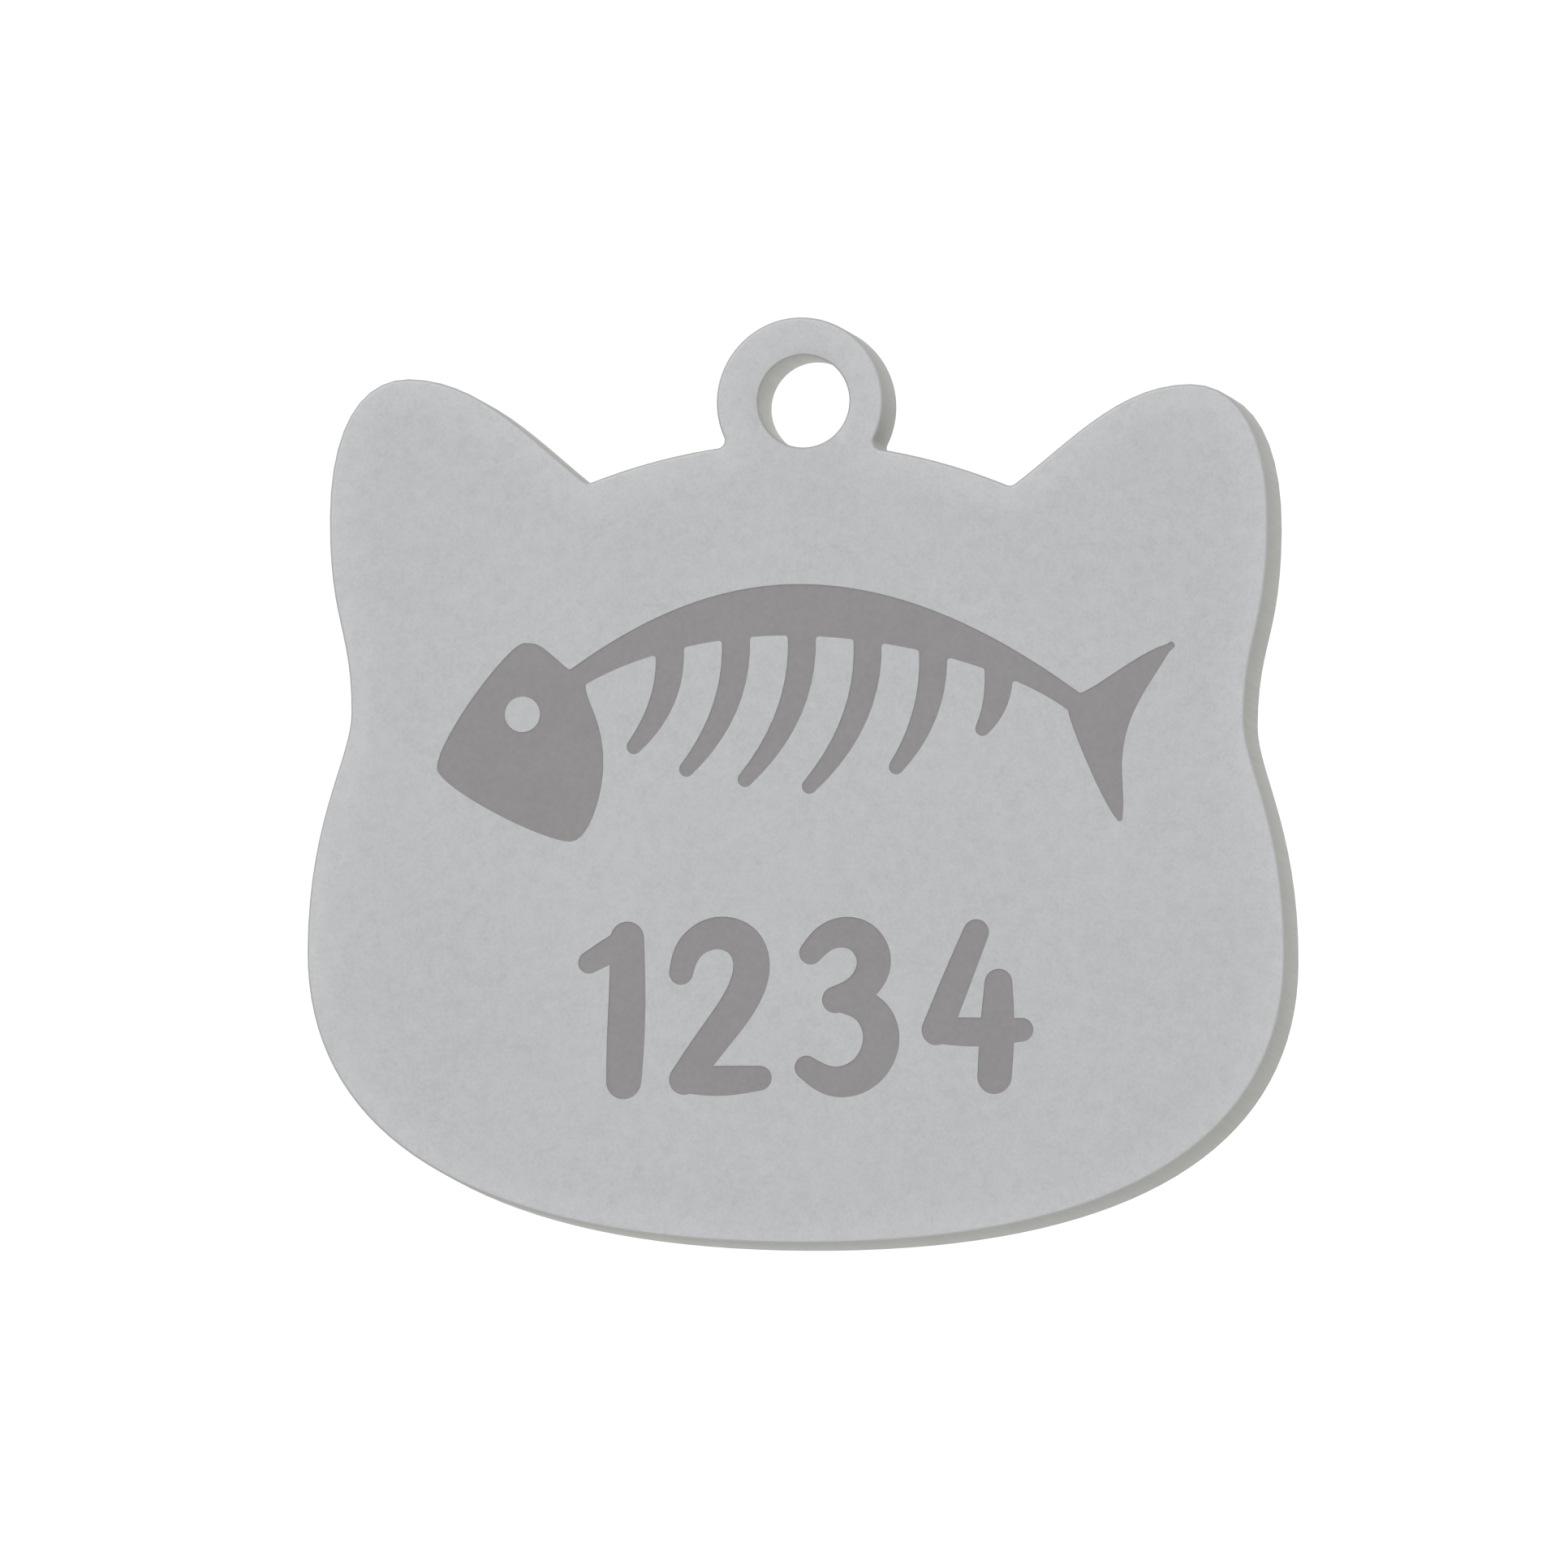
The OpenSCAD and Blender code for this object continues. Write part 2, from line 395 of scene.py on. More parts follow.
class Workshop:
    """Builds the shared shader groups and the materials, each of them once."""

    def __init__(self) -> None:
        """Makes the two shared groups."""
        self.grain_group = self._make_grain(GrainPattern())
        self.wear_group = self._make_wear(WearPattern())
        self.made: dict[str, bpy.types.Material] = {}

    @staticmethod
    def _group(
        name: str, inputs: Sequence[tuple[str, str]], outputs: Sequence[str]
    ) -> tuple[bpy.types.NodeTree, bpy.types.Node, bpy.types.Node]:
        """Starts a shader group.

        Args:
            name: The group's name.
            inputs: The name and the kind of socket of each input.
            outputs: The name of each output, all plain numbers.

        Returns:
            The group, its input node and its output node.
        """
        group = bpy.data.node_groups.new(name, "ShaderNodeTree")
        for socket, kind in inputs:
            group.interface.new_socket(socket, in_out="INPUT", socket_type=kind)
        for socket in outputs:
            group.interface.new_socket(socket, in_out="OUTPUT", socket_type="NodeSocketFloat")
        source = group.nodes.new("NodeGroupInput")
        sink = group.nodes.new("NodeGroupOutput")
        return group, source, sink

    @staticmethod
    def _math(
        tree: bpy.types.NodeTree, operation: str, *values: bpy.types.NodeSocket | float
    ) -> bpy.types.NodeSocket:
        """Adds a Math node.

        Args:
            tree: The tree that it goes into.
            operation: The node's operation.
            values: A socket or a number for each of its inputs.

        Returns:
            The node's output.
        """
        node = tree.nodes.new("ShaderNodeMath")
        node.operation = operation
        for socket, value in zip(node.inputs, values):
            if isinstance(value, bpy.types.NodeSocket):
                tree.links.new(value, socket)
            else:
                socket.default_value = value
        return node.outputs[0]

    @staticmethod
    def _noise(
        tree: bpy.types.NodeTree,
        vector: bpy.types.NodeSocket,
        scale: bpy.types.NodeSocket | float,
        detail: float,
    ) -> bpy.types.NodeSocket:
        """Adds a Noise Texture node.

        Args:
            tree: The tree that it goes into.
            vector: Where the noise is read.
            scale: How many times a metre it repeats.
            detail: How many finer layers it has.

        Returns:
            The node's plain value.
        """
        node = tree.nodes.new("ShaderNodeTexNoise")
        tree.links.new(vector, node.inputs["Vector"])
        if isinstance(scale, bpy.types.NodeSocket):
            tree.links.new(scale, node.inputs["Scale"])
        else:
            node.inputs["Scale"].default_value = scale
        node.inputs["Detail"].default_value = detail
        return node.outputs[0]

    def _swing(
        self, tree: bpy.types.NodeTree, noise: bpy.types.NodeSocket, contrast: float
    ) -> bpy.types.NodeSocket:
        """Spreads a noise about its middle, so that it swings to both sides of 0.

        Args:
            tree: The tree that the nodes go into.
            noise: The noise.
            contrast: How far it is spread.

        Returns:
            The swing.
        """
        return self._math(
            tree, "MULTIPLY", self._math(tree, "SUBTRACT", noise, NOISE_MIDDLE), contrast
        )

    def _peaks(
        self, tree: bpy.types.NodeTree, noise: bpy.types.NodeSocket, floor: float, contrast: float
    ) -> bpy.types.NodeSocket:
        """Keeps what stands above a floor in a noise.

        Args:
            tree: The tree that the nodes go into.
            noise: The noise.
            floor: The value that becomes 0.
            contrast: How steeply it rises from there.

        Returns:
            The peaks, from 0 to 1.
        """
        risen = self._math(tree, "MULTIPLY", self._math(tree, "SUBTRACT", noise, floor), contrast)
        return self._math(tree, "MINIMUM", self._math(tree, "MAXIMUM", risen, 0.0), 1.0)

    def _make_grain(self, pattern: GrainPattern) -> bpy.types.NodeTree:
        """Builds the group for a surface's fine grain.

        Args:
            pattern: How the grain is mixed.

        Returns:
            A group whose Swing runs from about -1 to 1, with a Height for bumps.
        """
        tree, source, sink = self._group(
            "fine_grain",
            [
                ("Vector", "NodeSocketVector"),
                ("Stretch", "NodeSocketVector"),
                ("Scale", "NodeSocketFloat"),
            ],
            ["Swing", "Height"],
        )
        pull = tree.nodes.new("ShaderNodeVectorMath")
        pull.operation = "MULTIPLY"
        tree.links.new(source.outputs["Vector"], pull.inputs[0])
        tree.links.new(source.outputs["Stretch"], pull.inputs[1])
        fine_scale = source.outputs["Scale"]
        fine = self._noise(tree, pull.outputs[0], fine_scale, pattern.fine_detail)
        wide_scale = self._math(tree, "MULTIPLY", fine_scale, pattern.wide_scale)
        wide = self._noise(tree, pull.outputs[0], wide_scale, pattern.wide_detail)
        wide_part = self._math(tree, "MULTIPLY", wide, pattern.wide_weight)
        both = self._math(tree, "MULTIPLY_ADD", fine, pattern.fine_weight, wide_part)
        tree.links.new(self._swing(tree, both, pattern.contrast), sink.inputs["Swing"])
        tree.links.new(both, sink.inputs["Height"])
        return tree

    def _make_wear(self, pattern: WearPattern) -> bpy.types.NodeTree:
        """Builds the group for handling marks.

        Args:
            pattern: How the marks lie.

        Returns:
            A group that puts out wide soft Smudge, from -1 to 1, and thin Hairline, 0 to 1.
        """
        tree, source, sink = self._group(
            "handling_marks", [("Vector", "NodeSocketVector")], ["Smudge", "Hairline"]
        )
        surface = source.outputs["Vector"]
        cloud = self._noise(tree, surface, pattern.smudge_scale, pattern.smudge_detail)
        smudge = self._swing(tree, cloud, pattern.smudge_contrast)
        tree.links.new(smudge, sink.inputs["Smudge"])
        lines = None
        for turn, shift in pattern.line_lays:
            place = tree.nodes.new("ShaderNodeMapping")
            place.vector_type = "TEXTURE"
            place.inputs["Location"].default_value = (shift, 0, 0)
            place.inputs["Rotation"].default_value = (0, math.radians(turn), 0)
            place.inputs["Scale"].default_value = (1, 1, pattern.line_stretch)
            tree.links.new(surface, place.inputs["Vector"])
            line = self._noise(tree, place.outputs[0], pattern.line_scale, pattern.line_detail)
            thin = self._peaks(tree, line, pattern.line_floor, pattern.line_contrast)
            lines = thin if lines is None else self._math(tree, "MAXIMUM", lines, thin)
        patch = self._noise(tree, surface, pattern.patch_scale, pattern.line_detail)
        where = self._peaks(tree, patch, pattern.patch_floor, pattern.patch_contrast)
        tree.links.new(self._math(tree, "MULTIPLY", lines, where), sink.inputs["Hairline"])
        return tree

    def material(self, finish: Finish) -> bpy.types.Material:
        """Builds a finish as a material, or finds it where it is built already.

        Args:
            finish: The finish.

        Returns:
            The material.
        """
        if finish.name in self.made:
            return self.made[finish.name]
        material = self.made[finish.name] = bpy.data.materials.new(finish.name)
        material.use_nodes = True
        tree = material.node_tree
        shader = tree.nodes["Principled BSDF"]
        shader.inputs["Metallic"].default_value = finish.metallic
        place = tree.nodes.new("ShaderNodeTexCoord").outputs["Object"]

        grain = tree.nodes.new("ShaderNodeGroup")
        grain.node_tree = self.grain_group
        grain.inputs["Stretch"].default_value = finish.grain.stretch
        grain.inputs["Scale"].default_value = 1 / finish.grain.size
        tree.links.new(place, grain.inputs["Vector"])
        wear = tree.nodes.new("ShaderNodeGroup")
        wear.node_tree = self.wear_group
        tree.links.new(place, wear.inputs["Vector"])

        # Near a piece's rim its colour turns to the rim colour; on the satin plate that lighter
        # rim is a painted highlight.
        rim = tree.nodes.new("ShaderNodeAttribute")
        rim.attribute_name = RIM_NAME
        ramp = tree.nodes.new("ShaderNodeMapRange")
        ramp.interpolation_type = "SMOOTHSTEP"
        tree.links.new(rim.outputs["Fac"], ramp.inputs["Value"])
        tone = tree.nodes.new("ShaderNodeMix")
        tone.data_type = "RGBA"
        tone.inputs["A"].default_value = (*finish.rim, 1)
        tone.inputs["B"].default_value = (*finish.core, 1)
        tree.links.new(ramp.outputs["Result"], tone.inputs["Factor"])

        swing = self._math(tree, "MULTIPLY_ADD", grain.outputs["Swing"], finish.grain.tone, 1.0)
        swing = self._math(
            tree, "MULTIPLY_ADD", wear.outputs["Smudge"], finish.wear.smudge, swing
        )
        swing = self._math(
            tree, "MULTIPLY_ADD", wear.outputs["Hairline"], finish.wear.hairline, swing
        )
        tint = tree.nodes.new("ShaderNodeVectorMath")
        tint.operation = "SCALE"
        tree.links.new(tone.outputs["Result"], tint.inputs[0])
        tree.links.new(swing, tint.inputs["Scale"])
        tree.links.new(tint.outputs[0], shader.inputs["Base Color"])

        gloss = self._math(
            tree, "MULTIPLY_ADD", grain.outputs["Swing"], finish.grain.gloss, finish.roughness
        )
        gloss = self._math(
            tree, "MULTIPLY_ADD", wear.outputs["Smudge"], finish.wear.smudge, gloss
        )
        tree.links.new(gloss, shader.inputs["Roughness"])

        bump = tree.nodes.new("ShaderNodeBump")
        bump.inputs["Distance"].default_value = finish.grain.depth
        tree.links.new(grain.outputs["Height"], bump.inputs["Height"])
        tree.links.new(bump.outputs["Normal"], shader.inputs["Normal"])
        return material


@dataclass
class PlateBody:
    """The plate with its hanging eye, as cut, deburred and tumbled.

    Attributes:
        half_t: Half its thickness.
        merge: The distance within which the CAD node's corners become one.
        bevel: The width of its deburred rims, and bevel_steps their facets.
        crown: How far its faces fall towards the rim.
        crown_w: The width over which they fall, and over which the painted rim highlight fades.
        crown_shares: Where that width has its steps.
        bore_r: The hole's radius, and bore_sides its facets.
        mouth: The radius of the hole's rounded mouths, and mouth_steps their facets.
        eye_search_r: A radius between the hole and the eye's outline.
        wall_tilt: A face is a wall where its normal's share along Y is under this.
        smooth_angle: Edges sharper than this stay sharp, in degrees.
        piece: The plate, once it is built.
        outline: The x and z of the outline's corners, in order.
    """

    half_t: float = HALF_T
    merge: float = 0.02 * MM
    bevel: float = 0.06 * MM
    bevel_steps: int = 3
    crown: float = 0.01 * MM
    crown_w: float = 1.4 * MM
    crown_shares: tuple[float, ...] = (0.04, 0.25, 0.5, 0.75, 1.0)
    bore_r: float = BORE_R
    bore_sides: int = 96
    mouth: float = 0.06 * MM
    mouth_steps: int = 4
    eye_search_r: float = 2.0 * MM
    wall_tilt: float = 0.3
    smooth_angle: float = 35.0
    piece: bpy.types.Object | None = None
    outline: np.ndarray | None = None

    def build(self) -> None:
        """Models the plate from the outline of its CAD node, and bores it."""
        self.piece = copy_of_node("tag_plate", "plate_body", self.merge)
        self._keep_back_outline()
        self._remember_outline()
        self._raise_slab()
        self._round_rims()
        self._crown_faces()
        self._bore()

    def _keep_back_outline(self) -> None:
        """Strips the copy down to the outer outline of its back face."""
        edit(self.piece)
        select(
            self.piece,
            Part.FACES,
            lambda f: min(v.co.y for v in f.verts) < self.half_t - self.merge,
        )
        bpy.ops.mesh.delete(type="FACE")
        select(
            self.piece,
            Part.EDGES,
            lambda e: len(e.link_faces) != 1
            or any(v.co.length <= self.eye_search_r for v in e.verts),
        )
        bpy.ops.mesh.delete(type="EDGE")
        bpy.ops.mesh.select_all(action="SELECT")
        bpy.ops.mesh.edge_face_add()
        done()

    def _remember_outline(self) -> None:
        """Keeps the one flat face's corners in order, for the distance to the rim."""
        mesh = self.piece.data
        corners = [mesh.vertices[i].co for i in mesh.polygons[0].vertices]
        self.outline = np.array([(c.x, c.z) for c in corners])

    def _raise_slab(self) -> None:
        """Extrudes the flat outline into a slab, short of its crowned faces."""
        side = self.half_t - self.crown
        edit(self.piece)
        bpy.ops.mesh.select_all(action="SELECT")
        bpy.ops.transform.translate(value=(0, -self.crown, 0))
        bpy.ops.mesh.extrude_region_move(
            TRANSFORM_OT_translate={"value": (0, -2 * side, 0)}
        )
        bpy.ops.mesh.select_all(action="SELECT")
        bpy.ops.mesh.normals_make_consistent(inside=False)
        done()

    def _round_rims(self) -> None:
        """Bevels the front and back rims, as deburring leaves them."""
        edit(self.piece)
        select(
            self.piece,
            Part.EDGES,
            lambda e: abs(e.verts[0].co.y - e.verts[1].co.y) < self.half_t,
        )
        bpy.ops.mesh.bevel(
            offset=self.bevel,
            segments=self.bevel_steps,
            profile=ROUND_PROFILE,
            affect="EDGES",
        )
        done()

    def _crown_faces(self) -> None:
        """Insets both faces step by step, each a little higher, as tumbling leaves them."""
        edit(self.piece)
        for side in (-1, 1):
            select(
                self.piece,
                Part.FACES,
                lambda f: f.normal.y * side > LEVEL and len(f.verts) > QUAD_CORNERS,
            )
            last, risen = 0.0, 0.0
            for share in self.crown_shares:
                height = 1 - (1 - share) ** 2
                bpy.ops.mesh.inset(
                    thickness=(share - last) * self.crown_w,
                    depth=(height - risen) * self.crown,
                    use_even_offset=True,
                )
                last, risen = share, height
            bpy.ops.transform.resize(
                value=(1, 0, 1), center_override=(0, side * self.half_t, 0)
            )
        done()

    def _bore(self) -> None:
        """Bores the hole for the ring, with rounded mouths."""
        tool = self._bore_tool()
        self.engrave(tool)
        drop(tool)

    def _bore_tool(self) -> bpy.types.Object:
        """Shapes the hole's closed tool: a round bar that widens at both ends.

        Returns:
            The tool, which runs past both faces.
        """
        bpy.ops.object.select_all(action="DESELECT")
        bpy.ops.mesh.primitive_cylinder_add(
            vertices=self.bore_sides,
            radius=self.bore_r,
            depth=2 * (self.half_t - self.mouth),
            end_fill_type="NGON",
        )
        tool = bpy.context.active_object
        tool.name = "bore_tool"
        edit(tool)
        bpy.ops.mesh.select_all(action="SELECT")
        bpy.ops.transform.rotate(
            value=QUARTER_TURN, orient_axis="X", center_override=(0, 0, 0)
        )
        for side in (-1, 1):
            select(tool, Part.FACES, lambda f: f.normal.y * side > LEVEL)
            reach, along = self.bore_r, 0.0
            for step in range(1, self.mouth_steps + 1):
                turn = QUARTER_TURN * step / self.mouth_steps
                radius = self.bore_r + self.mouth * (1 - math.cos(turn))
                height = self.mouth * math.sin(turn)
                bpy.ops.mesh.extrude_region_move(
                    TRANSFORM_OT_translate={"value": (0, side * (height - along), 0)}
                )
                grow = radius / reach
                bpy.ops.transform.resize(
                    value=(grow, 1, grow), center_override=(0, side * self.half_t, 0)
                )
                reach, along = radius, height
            bpy.ops.mesh.extrude_region_move(
                TRANSFORM_OT_translate={"value": (0, side * self.mouth, 0)}
            )
        bpy.ops.mesh.select_all(action="SELECT")
        bpy.ops.mesh.normals_make_consistent(inside=False)
        done()
        return tool

    def engrave(self, tool: bpy.types.Object) -> None:
        """Cuts a shape out of the plate.

        Args:
            tool: The shape to cut with.
        """
        boolean(self.piece, tool, Cut.TAKE_AWAY)

    def _rim_distances(self, points: np.ndarray) -> np.ndarray:
        """Measures how far points lie from the outline.

        Args:
            points: The points' x and z, one row each.

        Returns:
            The distance of each point, in metres.
        """
        sides = np.roll(self.outline, -1, axis=0) - self.outline
        nearest = np.full(len(points), np.inf)
        for start, side in zip(self.outline, sides):
            share = np.clip(((points - start) @ side) / (side @ side), 0, 1)
            gap = np.linalg.norm(points - start - share[:, None] * side, axis=1)
            nearest = np.minimum(nearest, gap)
        return nearest

    def dress(self, shop: Workshop) -> None:
        """Gives the plate its satin faces with a painted highlight along the outline, its cut
        edges, its hole's wall with painted light, and its deburred rims.

        Args:
            shop: The builder of materials.
        """
        piece = self.piece
        mesh = piece.data
        mesh.materials.clear()
        mesh.materials.append(shop.material(SATIN))
        # The hole's wall gets painted light against the shade inside it.
        zones = zip((CUT_EDGE, RING_POLISH_AND_PAINTED_LIGHT, DEBURRED), self._edge_zones())
        for index, (finish, faces) in enumerate(zones, start=1):
            mesh.materials.append(shop.material(finish))
            edit(piece)
            select(piece, Part.FACES, lambda f: f.index in faces)
            piece.active_material_index = index
            bpy.ops.object.material_slot_assign()
            done()
        settle_faces(piece, self.smooth_angle)
        # The rim share places the satin's painted highlight along the outline.
        points = np.array([(v.co.x, v.co.z) for v in mesh.vertices])
        mark_rim(piece, np.clip(self._rim_distances(points) / self.crown_w, 0, 1))
        hand_over(piece, "tag_plate")

    def _edge_zones(self) -> tuple[set[int], set[int], set[int]]:
        """Finds the faces of the outer side wall, of the hole's wall and of their rims.

        Returns:
            The numbers of the faces of each.
        """
        faces = self.piece.data.polygons
        centres = np.array([(f.center.x, f.center.z) for f in faces])
        tilt = np.array([abs(f.normal.y) for f in faces])
        in_hole = np.hypot(centres[:, 0], centres[:, 1]) < self.eye_search_r
        on_rim = self._rim_distances(centres) < self.bevel
        wall = tilt < self.wall_tilt
        rounded = ~wall & (tilt < LEVEL)
        zones = (wall & on_rim & ~in_hole, wall & in_hole, rounded & (on_rim | in_hole))
        return tuple(set(np.flatnonzero(zone).tolist()) for zone in zones)


@dataclass
class Fill:
    """Dark enamel in a hollow of the plate, sunk a little and dished inside its rim.

    Attributes:
        face_y: The height of the plate's front face, along Y.
        sink: How far below the face the fill's rim lies.
        meniscus_w: The width of the rim.
        meniscus: How far the middle lies below the rim.
        smooth_angle: Edges sharper than this stay sharp, in degrees.
        piece: The fill, once it is built.
    """

    face_y: float = -HALF_T
    sink: float = 0.015 * MM
    meniscus_w: float = 0.05 * MM
    meniscus: float = 0.012 * MM
    smooth_angle: float = 40.0
    piece: bpy.types.Object | None = None

    def _dish(self, top: float, lower: float) -> None:
        """Lowers the fill's top and dishes it inside its rim.

        Args:
            top: The height of the top, along Y, before it is lowered.
            lower: How far it is lowered.
        """
        edit(self.piece)
        select(
            self.piece,
            Part.FACES,
            lambda f: f.normal.y < -LEVEL and abs(f.calc_center_median().y - top) < lower,
        )
        bpy.ops.transform.translate(value=(0, lower, 0))
        bpy.ops.mesh.inset(
            thickness=self.meniscus_w, depth=-self.meniscus, use_even_offset=True
        )
        done()

    def _coat(self, shop: Workshop, rim_y: float) -> None:
        """Gives the fill its enamel and marks its rim.

        Args:
            shop: The builder of materials.
            rim_y: The height of the rim, along Y.
        """
        mesh = self.piece.data
        mesh.materials.clear()
        mesh.materials.append(shop.material(DARK_ENAMEL))
        settle_faces(self.piece, self.smooth_angle)
        mark_rim(self.piece, np.array([v.co.y > rim_y + HAIR for v in mesh.vertices]))


@dataclass(frozen=True)
class TailTip:
    """A tip of the tail, which ends in a small round.

    Attributes:
        way: The way it points, in degrees up from +X.
        reach: How far it is drawn out before it is cut.
        cut: How far back it is cut off.
        rounding: How much of each corner of the cut is rounded.
    """

    way: float
    reach: float
    cut: float
    rounding: float


@dataclass
class FishboneFill(Fill):
    """The fishbone: enamel that fills its pocket almost to the face.

    Attributes:
        merge: The distance within which the CAD node's corners become one.
        flat_angle: Faces that meet at less than this become one, in degrees.
        tips: The tail's two tips, and tip_steps the facets of their rounds.
        overrun: How far the pocket's tool stands out of the face.
    """

    merge: float = 0.012 * MM
    flat_angle: float = 0.05
    tips: tuple[TailTip, ...] = (
        TailTip(way=39.3, reach=1.0 * MM, cut=1.06 * MM, rounding=0.074 * MM),
        TailTip(way=-79.0, reach=0.34 * MM, cut=0.385 * MM, rounding=0.056 * MM),
    )
    tip_steps: int = 3
    overrun: float = 0.3 * MM

    def build(self) -> None:
        """Copies the inlay's CAD node and rounds its tail."""
        self.piece = copy_of_node("fishbone_inlay", "fishbone_fill", self.merge)
        edit(self.piece)
        bpy.ops.mesh.select_all(action="SELECT")
        bpy.ops.mesh.dissolve_limited(angle_limit=math.radians(self.flat_angle))
        done()
        for tip in self.tips:
            self._round_tip(tip)

    def _round_tip(self, tip: TailTip) -> None:
        """Draws a tip of the tail out a little, cuts it off and rounds the cut.

        Args:
            tip: The tip.
        """
        turn = math.radians(tip.way)
        way = Vector((math.cos(turn), 0, math.sin(turn)))
        furthest = max(v.co.dot(way) for v in self.piece.data.vertices)
        edit(self.piece)
        select(self.piece, Part.VERTS, lambda v: v.co.dot(way) > furthest - self.merge)
        bpy.ops.transform.translate(value=way * tip.reach)
        bpy.ops.mesh.bevel(offset=tip.cut, segments=1, affect="EDGES")
        end = furthest + tip.reach - tip.cut
        select(
            self.piece,
            Part.EDGES,
            lambda e: min(v.co.dot(way) for v in e.verts) > end
            and abs(e.verts[0].co.y - e.verts[1].co.y) > self.merge,
        )
        bpy.ops.mesh.bevel(
            offset=tip.rounding,
            segments=self.tip_steps,
            profile=ROUND_PROFILE,
            affect="EDGES",
        )
        done()

    def pocket_tool(self) -> bpy.types.Object:
        """Makes the tool that cuts the inlay's pocket.

        Returns:
            The inlay's shape, run out past the front face.
        """
        tool = self.piece.copy()
        tool.data = self.piece.data.copy()
        bpy.context.scene.collection.objects.link(tool)
        edit(tool)
        select(tool, Part.FACES, lambda f: f.normal.y < -LEVEL)
        bpy.ops.transform.translate(value=(0, -self.overrun, 0))
        done()
        return tool

    def dress(self, shop: Workshop) -> None:
        """Sinks the fill's face a little and finishes it.

        Args:
            shop: The builder of materials.
        """
        self._dish(self.face_y, self.sink)
        self._coat(shop, self.face_y + self.sink)
        hand_over(self.piece, "fishbone_inlay")


@dataclass(frozen=True)
class Stroke:
    """One stroke of a digit: points from end to end, as (x, height, width) in millimetres."""

    points: tuple[tuple[float, float, float], ...]

    def samples(self, steps: int, cap_steps: int) -> np.ndarray:
        """Draws a uniform cubic B-spline from end to end, and rounds both ends.

        The first and last points lie on the line, and the others draw it towards them.

        Args:
            steps: Steps from one point to the next.
            cap_steps: Steps round each end.

        Returns:
            Rows of x, height and half width, in millimetres.
        """
        given = np.array(self.points)
        given[:, 2] /= 2
        padded = np.vstack([2 * given[0] - given[1], given, 2 * given[-1] - given[-2]])
        line = [given[0]]
        for i in range(1, len(padded) - 2):
            p0, p1, p2, p3 = padded[i - 1 : i + 3]
            for k in range(1, steps + 1):
                t = k / steps
                line.append(
                    (
                        (1 - t) ** 3 * p0
                        + (3 * t**3 - 6 * t**2 + 4) * p1
                        + (3 * t**2 + 3 * t - 3 * t**3 + 1) * p2
                        + t**3 * p3
                    )
                    / 6
                )
        line = np.array(line)
        head = self._cap(line[0], line[1], cap_steps)[::-1]
        tail = self._cap(line[-1], line[-2], cap_steps)
        return np.vstack([head, line, tail])

    @staticmethod
    def _cap(end: np.ndarray, inner: np.ndarray, steps: int) -> np.ndarray:
        """Rounds one end of a stroke.

        Args:
            end: The line's last sample.
            inner: The sample before it.
            steps: Steps round the end.

        Returns:
            The samples past the end, from the line outwards.
        """
        out = end[:2] - inner[:2]
        out = out / np.linalg.norm(out)
        rows = []
        for k in range(1, steps + 1):
            turn = QUARTER_TURN * k / steps
            radius = end[2] * math.cos(turn) if k < steps else 0.0
            rows.append([*(end[:2] + out * end[2] * math.sin(turn)), radius])
        return np.array(rows)


# The digits, each as strokes measured from the middle of its foot
DIGITS: dict[str, tuple[Stroke, ...]] = {
    "one": (
        Stroke(((0.30, 4.95, 1.04), (0.32, 3.40, 1.12), (0.27, 1.80, 1.18), (0.22, 0.62, 1.08))),
        Stroke(((0.28, 4.88, 0.80), (-0.27, 4.58, 0.80), (-0.86, 4.24, 0.68))),
    ),
    "two": (
        Stroke(
            (
                (-1.14, 3.90, 0.74),
                (-0.98, 4.68, 0.84),
                (-0.14, 5.22, 0.98),
                (0.88, 4.92, 1.10),
                (1.14, 3.90, 1.14),
                (0.60, 2.80, 1.10),
                (-0.26, 1.74, 1.02),
                (-1.02, 0.66, 0.94),
            )
        ),
        Stroke(((-1.00, 0.64, 0.80), (0.12, 0.58, 0.98), (1.28, 0.67, 0.76))),
    ),
    "three": (
        Stroke(
            (
                (-1.02, 4.46, 0.72),
                (-0.50, 5.08, 0.86),
                (0.52, 5.12, 1.02),
                (1.10, 4.18, 1.08),
                (0.56, 3.26, 0.96),
                (-0.26, 3.03, 0.82),
            )
        ),
        Stroke(
            (
                (-0.24, 3.02, 0.70),
                (0.76, 2.92, 1.00),
                (1.34, 1.90, 1.16),
                (0.80, 0.70, 1.08),
                (-0.34, 0.40, 0.92),
                (-1.14, 0.98, 0.72),
            )
        ),
    ),
    "four": (
        Stroke(((0.04, 5.02, 0.80), (-0.54, 3.60, 0.90), (-1.14, 2.08, 0.94))),
        Stroke(((-1.12, 2.06, 0.80), (0.12, 1.97, 0.94), (1.46, 2.05, 0.72))),
        Stroke(((0.74, 3.48, 0.86), (0.72, 2.10, 1.10), (0.64, 0.64, 1.06))),
    ),
}


